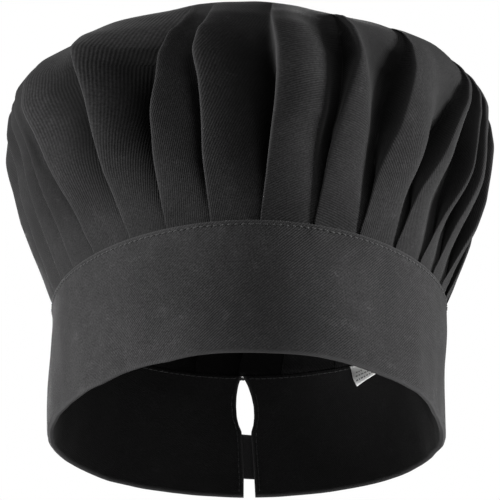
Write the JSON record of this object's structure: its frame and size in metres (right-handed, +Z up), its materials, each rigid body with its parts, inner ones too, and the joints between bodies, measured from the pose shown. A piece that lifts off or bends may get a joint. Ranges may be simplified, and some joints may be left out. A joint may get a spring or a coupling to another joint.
{
  "type": "chef toque",
  "caption": "Floppy chef hat: round pleated cloth crown on a folded head band, open at the back with a hook-and-loop tab to set its size.",
  "frame": {"origin": "middle of the rim's plane, under the middle of the whole hat", "axes": "+Z up through the crown, -Y towards the wearer's front, the slit and its tab at +Y"},
  "size_m": [0.2238, 0.2403, 0.1759],
  "materials": {
    "crown_twill": "matt cotton twill",
    "band_twill": "matt cotton twill, pressed",
    "stiffener": "bonded non-woven",
    "black_thread": "polyester sewing thread",
    "tab_twill": "matt cotton twill, doubled",
    "loop_pile": "brushed nylon loop pile",
    "hook_nylon": "stiff nylon hooks",
    "label_satin": "white satin ribbon",
    "label_thread": "white sewing thread"
  },
  "bodies": {
    "hat": {"crown": "crown_twill", "band": "band_twill", "band_interfacing": "stiffener", "crown_seam_stitching": "black_thread", "band_topstitching": "black_thread", "band_end_stitching_loop_side": "black_thread", "band_end_stitching_tab_side": "black_thread", "slit_bartack": "black_thread", "closure_tab_sewn_end": "tab_twill", "closure_tab_sewn_end_stitching": "black_thread", "loop_tape": "loop_pile", "loop_tape_stitching": "black_thread"},
    "tab_free_end": {"closure_tab": "tab_twill", "closure_tab_edge_stitching": "black_thread", "hook_tape": "hook_nylon", "hook_tape_stitching": "black_thread"},
    "label": {"care_label": "label_satin", "care_label_stitching": "label_thread"}
  },
  "joints": [
    {"name": "tab_peel", "type": "hinge", "parent": "hat", "child": "tab_free_end", "pos_m": [-0.00411, 0.10612, 0.01], "axis": [0, -0.1864, 0.9825], "range_deg": [0, 100]},
    {"name": "label_swing", "type": "hinge", "parent": "hat", "child": "label", "pos_m": [0.05967, 0.06836, 0.0566], "axis": [-0.724, 0.6898, 0], "range_deg": [0, 80]}
  ]
}
